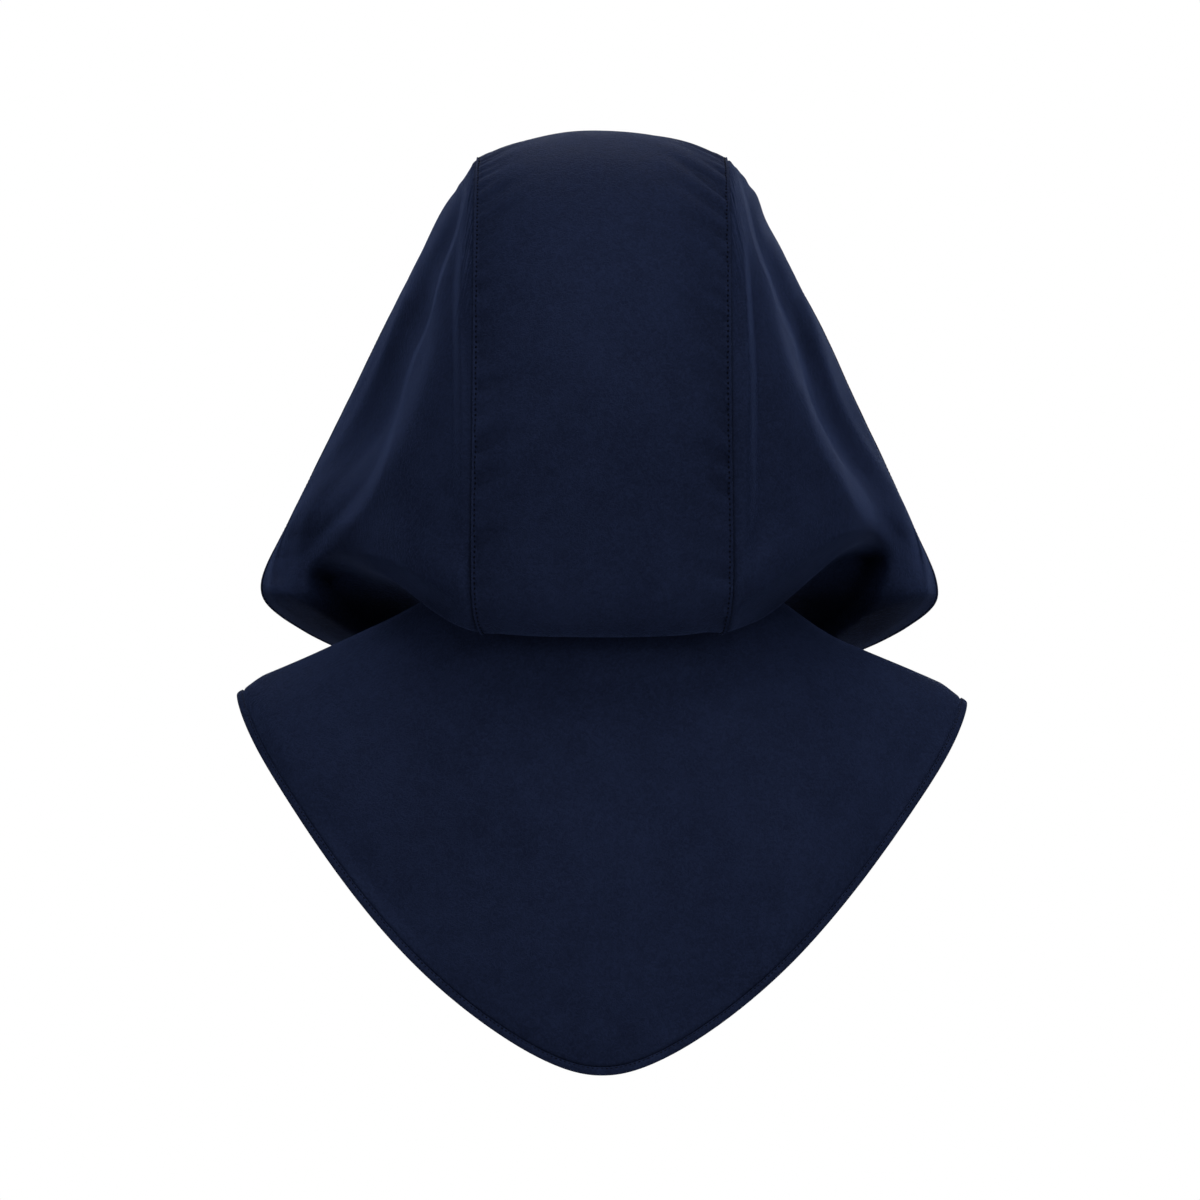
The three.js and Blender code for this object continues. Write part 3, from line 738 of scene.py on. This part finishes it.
def stitches(name, rows, size):
    """Rows of stitches: each is a short round thread along its row, of which the middle stands up by
    lift·(1−t²) and the ends go down into the cloth, t being −1 to 1 from end to end."""
    turn = np.linspace(0, 2 * math.pi, STITCH_SIDES, endpoint=False)
    t, thick = STITCH_RINGS[:, 0, None], STITCH_RINGS[:, 1, None]
    along = np.broadcast_to(t * size["length"] / 2, (len(STITCH_RINGS), STITCH_SIDES))
    side = thick * np.cos(turn) * size["width"] / 2
    up = thick * np.sin(turn) * size["width"] / 2 + size["lift"] * (1 - 2 * t**2)
    places, uv = [], []
    ring = np.arange(len(STITCH_RINGS) * STITCH_SIDES).reshape(-1, STITCH_SIDES)
    ring_after, beside = ring[1:], np.roll(ring, -1, 1)
    one = np.stack([ring[:-1], ring_after, beside[1:], beside[:-1]], -1).reshape(-1, 4)
    for points, normals, closed in rows:
        points, normals, at = even_path(points, normals, size["pitch"], closed)
        ahead = directions(points, closed)
        beside = unit(np.cross(ahead, normals))
        axes = (ahead, beside, normals)
        shape = sum(axis[:, None, None] * part[..., None] for axis, part in zip(axes, (along, side, up)))
        places.append((points[:, None, None] + shape).reshape(-1, 3))
        uv.append(np.stack(np.broadcast_arrays(at[:, None, None] + along, side), -1).reshape(-1, 2))
    points = np.concatenate(places)
    starts = np.arange(len(points) // ring.size)[:, None] * ring.size
    quads = (starts[..., None] + one[None]).reshape(-1, 4)
    ends = np.concatenate([starts + ring[0][None], starts + ring[-1, ::-1][None]])
    return mesh_object(name, points, quads, np.concatenate(uv), ends.tolist())


def seam_stitch_rows(points, normals, across, rows):
    """The two columns of a grid that lie one stitch inset from its sides, over the rows given. The
    lengths across are those of one of the grid's rows."""
    columns = [np.argmin(np.abs(length - STITCH_INSET)) for length in (across, across[-1] - across)]
    return [(points[rows, column], normals[rows, column], False) for column in columns]


def beside_edge(points, normals, closed, out, up):
    """A row beside an edge: each point moved over the edge by out, and off the cloth by up."""
    points, normals, _ = even_path(points, normals, HEM_STEP, closed, 2)
    off = unit(np.cross(directions(points, closed), normals))
    return points + off * out + normals * up, normals, closed


class Value:
    """A shader socket. An expression on values adds its Math nodes."""

    def __init__(self, finish, socket):
        self.finish = finish
        self.socket = socket

    def math(self, operation, other, swapped=False):
        pair = (other, self) if swapped else (self, other)
        return self.finish.node("ShaderNodeMath", {"operation": operation}, dict(enumerate(pair)))

    def __add__(self, other):
        return self.math("ADD", other)

    def __radd__(self, other):
        return self.math("ADD", other, True)

    def __sub__(self, other):
        return self.math("SUBTRACT", other)

    def __rsub__(self, other):
        return self.math("SUBTRACT", other, True)

    def __mul__(self, other):
        return self.math("MULTIPLY", other)

    def __rmul__(self, other):
        return self.math("MULTIPLY", other, True)

    def __abs__(self):
        return self.math("ABSOLUTE", 0.0)

    def sine(self):
        return self.math("SINE", 0.0)

    def clamped(self):
        return self.finish.node("ShaderNodeClamp", {}, {"Value": self})


class Finish:
    """A procedural material. node() adds a node, with its settings first and then its sockets, and
    gives the value of one of its outputs."""

    def __init__(self, name):
        self.material = bpy.data.materials.new(name)
        self.material.use_nodes = True
        self.tree = self.material.node_tree
        self.tree.nodes.clear()

    def node(self, kind, settings, sockets, output=0):
        made = self.tree.nodes.new(kind)
        for key, value in settings.items():
            setattr(made, key, value)
        for key, value in sockets.items():
            if isinstance(value, Value):
                self.tree.links.new(value.socket, made.inputs[key])
            else:
                made.inputs[key].default_value = value
        return Value(self, made.outputs[output])

    def place(self):
        """Where a point lies on the object."""
        return self.node("ShaderNodeTexCoord", {}, {}, "Object")

    def along_cloth(self):
        """Where a point lies across and along its piece, from the piece's own UV map."""
        mapped = self.node("ShaderNodeUVMap", {"uv_map": "cloth"}, {})
        split = self.node("ShaderNodeSeparateXYZ", {}, {"Vector": mapped})
        return split, Value(self, split.socket.node.outputs["Y"])

    def noise(self, place, scale, detail, distortion=0.0):
        sockets = {"Vector": place, "Scale": scale, "Detail": detail, "Distortion": distortion}
        return self.node("ShaderNodeTexNoise", {}, sockets)

    def curls(self, place, scale, sharpness):
        """Thin curled lines, where a warped noise passes through its middle value."""
        return (1 - abs(self.noise(place, scale, 1.0, 0.8) - 0.5) * sharpness).clamped()

    def mix(self, share, first, second):
        """From the first colour to the second."""
        return self.node("ShaderNodeMix", {"data_type": "RGBA"}, {0: share, 6: first, 7: second}, 2)

    def surface(self, sockets):
        """The material, whose surface has these sockets."""
        shader = self.node("ShaderNodeBsdfPrincipled", {}, sockets)
        made = self.tree.nodes.new("ShaderNodeOutputMaterial")
        self.tree.links.new(shader.socket, made.inputs["Surface"])
        return self.material


def cloth_finish(name, dark, light):
    """Smooth brushed cloth: a plain weave under a short nap of curled fibres, with soft patches of
    lighter and darker dye, a dull surface and a little sheen where it is seen from the side."""
    finish = Finish(name)
    place = finish.place()
    warp, weft = ((value * (2 * math.pi / WEAVE_PITCH)).sine() for value in finish.along_cloth())
    broad = finish.noise(place, 11.0, 2.0)
    patches = finish.noise(place, 60.0, 3.0)
    nap = finish.noise(place, 800.0, 2.0, 0.8)
    fibres = finish.curls(place, 480.0, 9.0) + finish.curls(place, 300.0, 13.0)
    share = 0.5 + (broad - 0.5) * 0.8 + (patches - 0.5) * 0.7 + (nap - 0.5) * 0.9 + (fibres - 0.5) * 0.4
    height = nap * 0.45 + fibres * 0.5 + warp * weft * 0.12
    # Painted shade: the colour is taken towards black in seams, puckers and pockets where little light gets
    # in
    painted_shade = finish.node("ShaderNodeAttribute", {"attribute_name": "painted_shade"}, {}, "Fac")
    bump = finish.node("ShaderNodeBump", {}, {"Height": height, "Strength": 1.0, "Distance": NAP_DEPTH})
    dyed = finish.mix(share.clamped(), dark, light)
    return finish.surface({
        "Base Color": finish.mix(painted_shade.clamped() * DEEPEST_PAINTED_SHADE, dyed, BLACK),
        "Roughness": 0.66 + patches * 0.16,
        "Normal": bump,
        "Specular IOR Level": DULL_GLOSS,
        "Sheen Weight": 0.11,
        "Sheen Roughness": 0.30,
        "Sheen Tint": (0.28, 0.42, 1.0, 1),
    })


def thread_finish(name, dark, light):
    """Twisted sewing thread: slanting strands along each stitch, a shade darker than the cloth."""
    finish = Finish(name)
    strand, beside = finish.along_cloth()
    twist = ((strand + beside * TWIST_SLANT) * (2 * math.pi / TWIST_PITCH)).sine()
    uneven = finish.noise(finish.place(), 300.0, 2.0)
    bump = finish.node("ShaderNodeBump", {}, {"Height": twist, "Strength": 0.7, "Distance": TWIST_DEPTH})
    share = (0.3 + twist * 0.2 + uneven * 0.4).clamped()
    return finish.surface({
        "Base Color": finish.mix(share, dark, light),
        "Roughness": 0.5 + uneven * 0.15,
        "Normal": bump,
        "Specular IOR Level": DULL_GLOSS,
    })


def floor_finish():
    """Pale matt studio floor with a hardly visible unevenness."""
    finish = Finish("pale_floor")
    tone = finish.mix(finish.noise(finish.place(), 1.3, 2.0), *FLOOR_COLOURS)
    return finish.surface({"Base Color": tone, "Roughness": 0.9})


def dressed(made, material, slot, *nodes):
    """The piece with its finish, riding on the one body and standing for the nodes it is made after."""
    made.data.materials.append(material)
    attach(made, "root")
    if nodes:
        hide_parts(*nodes)
    return made


shell = cloth_finish("navy_cloth", *NAVY)
hem = cloth_finish("navy_hem_cloth", *NAVY_HEM)
thread = thread_finish("navy_thread", *NAVY_THREAD)
random = np.random.default_rng(SEED)

# The crown panel and the side panels share one direction outwards along their seams.
crown_base = crown_surface()
side_bases = {"left": side_surface(LEFT_SIDE), "right": side_surface(RIGHT_SIDE)}
crown_edge = normals_of(crown_base)[:, -1]
left_normals, right_normals = (unit(crown_edge + normals_of(base)[:, 0]) for base in side_bases.values())
seam_normals = unit(left_normals + right_normals)
crown_outer, crown_inner, crown_uv, crown_painted_shade = crown_panel(crown_base, seam_normals)
crown = cloth_object("crown_cloth", crown_outer, crown_inner, crown_uv, crown_painted_shade)
dressed(crown, shell, "shell_cloth", "crown_panel")

sides = {}
for side, base in side_bases.items():
    outer, inner, normals, uv, painted_shade = side_panel(side, base, seam_normals)
    if side == "left":
        outer, inner, normals, uv = mirrored(outer), mirrored(inner), mirrored(normals), uv[:, ::-1]
        painted_shade = painted_shade[:, ::-1]
    made = cloth_object(f"{side}_side_cloth", outer, inner, uv, painted_shade)
    sides[side] = (dressed(made, shell, "shell_cloth", f"side_panel_{side}"), outer, normals)

flaps = {}
for flap, first, last in (("back", -SHOULDER_SEAM_ANGLE, SHOULDER_SEAM_ANGLE),
                          ("front", SHOULDER_SEAM_ANGLE, 360 - SHOULDER_SEAM_ANGLE)):
    seed = len(flap)
    bent, outer, inner, normals, uv, painted_shade = yoke_flap(first, last, YOKE_COLUMNS[flap], SWAGS[flap], seed)
    made = cloth_object(f"yoke_{flap}_cloth", outer, inner, uv, painted_shade)
    flaps[flap] = (dressed(made, shell, "shell_cloth", f"yoke_{flap}"), bent, normals)

# The hems: from the right rim over the brow to the left rim, and round the yoke.
crown_normals = normals_of(crown_outer)
face_points = np.concatenate([sides["right"][1][:, -1], crown_outer[-1, ::-1], sides["left"][1][::-1, 0]])
face_normals = np.concatenate([sides["right"][2][:, -1], crown_normals[-1, ::-1], sides["left"][2][::-1, 0]])
face_hem = hem_band("face_hem_cloth", face_points, face_normals, FACE_HEM, False, random)
dressed(face_hem, hem, "hem_cloth", "face_hem")
yoke_points = np.concatenate([flaps["back"][1][0], flaps["front"][1][0, 1:-1]])
yoke_normals = np.concatenate([flaps["back"][2][0], flaps["front"][2][0, 1:-1]])
yoke_hem = hem_band("yoke_hem_cloth", yoke_points, yoke_normals, YOKE_HEM, True, random)
dressed(yoke_hem, hem, "hem_cloth", "yoke_hem")

# Stitches: two rows on the crown panel, one along each hem, and one before each shoulder seam.
across = lengths_along(crown_base, 1)[CROWN_MEASURED]
seam_rows = seam_stitch_rows(crown_outer, crown_normals, across, CROWN_STITCHED)
crown_stitches = dressed(stitches("crown_seam_stitches", seam_rows, STITCH), thread, None)
hem_row = beside_edge(yoke_points, yoke_normals, True, *YOKE_HEM_STITCHES)
hem_stitches = dressed(stitches("yoke_hem_stitches", [hem_row], HEM_STITCH), thread, None)
face_row = beside_edge(face_points, face_normals, False, *FACE_HEM_STITCHES)
face_stitches = dressed(stitches("face_hem_stitches", [face_row], HEM_STITCH), thread, None)
front_bent, front_normals = flaps["front"][1:]
across = lengths_along(front_bent, 1)[SHOULDER_MEASURED]
shoulder_rows = seam_stitch_rows(front_bent, front_normals, across, SHOULDER_STITCHED)
shoulder_stitches = dressed(stitches("shoulder_seam_stitches", shoulder_rows, STITCH), thread, None)


def studio_floor():
    """A round pale floor: a fan of points on a circle about the middle."""
    turn = np.linspace(0, 2 * math.pi, FLOOR_SIDES, endpoint=False)
    ring = np.stack([FLOOR_RADIUS * np.cos(turn), FLOOR_RADIUS * np.sin(turn), 0 * turn + FLOOR_HEIGHT], -1)
    mesh = bpy.data.meshes.new("studio_floor")
    mesh.from_pydata(ring.tolist(), [], [list(range(len(turn)))])
    made = bpy.data.objects.new("studio_floor", mesh)
    bpy.context.scene.collection.objects.link(made)
    made.data.materials.append(floor_finish())


def soft_light(name, place, size, power, tint=(1, 1, 1)):
    """A square softbox at a place in metres, turned to the middle of the hood."""
    lamp = bpy.data.lights.new(name, "AREA")
    lamp.size = size
    lamp.energy = power
    lamp.color = tint
    made = bpy.data.objects.new(name, lamp)
    bpy.context.scene.collection.objects.link(made)
    ahead = np.array(LIGHT_AIM, float) - place
    flat = math.hypot(ahead[0], ahead[1])
    made.location = place
    made.rotation_euler = (math.atan2(flat, -ahead[2]), 0, math.atan2(-ahead[0], ahead[1]))


def studio_light():
    """The softboxes, and a pale surround that is white to look at and dim as a light."""
    for lamp in LIGHTS:
        soft_light(*lamp)
    world = bpy.data.worlds.new("pale_surround")
    world.use_nodes = True
    bpy.context.scene.world = world
    tree = world.node_tree
    tree.nodes.clear()
    path = tree.nodes.new("ShaderNodeLightPath")
    dim, white = (tree.nodes.new("ShaderNodeBackground") for _ in range(2))
    dim.inputs["Color"].default_value = SURROUND_TINT
    dim.inputs["Strength"].default_value = SURROUND_LIGHT
    white.inputs["Color"].default_value = WHITE
    mixed = tree.nodes.new("ShaderNodeMixShader")
    out = tree.nodes.new("ShaderNodeOutputWorld")
    tree.links.new(path.outputs["Is Camera Ray"], mixed.inputs[0])
    tree.links.new(dim.outputs[0], mixed.inputs[1])
    tree.links.new(white.outputs[0], mixed.inputs[2])
    tree.links.new(mixed.outputs[0], out.inputs["Surface"])
    bpy.context.scene.view_settings.view_transform = "Standard"


def camera():
    """Level, straight behind the hood, and as far away as the photograph's."""
    lens = bpy.data.cameras.new("camera")
    lens.lens = LENS
    made = bpy.data.objects.new("camera", lens)
    bpy.context.scene.collection.objects.link(made)
    made.location = (CAMERA_X * MM, (CAMERA_PLANE_Y - CAMERA_DISTANCE) * MM, CAMERA_HEIGHT * MM)
    made.rotation_euler = (math.radians(90), 0, 0)
    bpy.context.scene.camera = made


studio_floor()
studio_light()
camera()
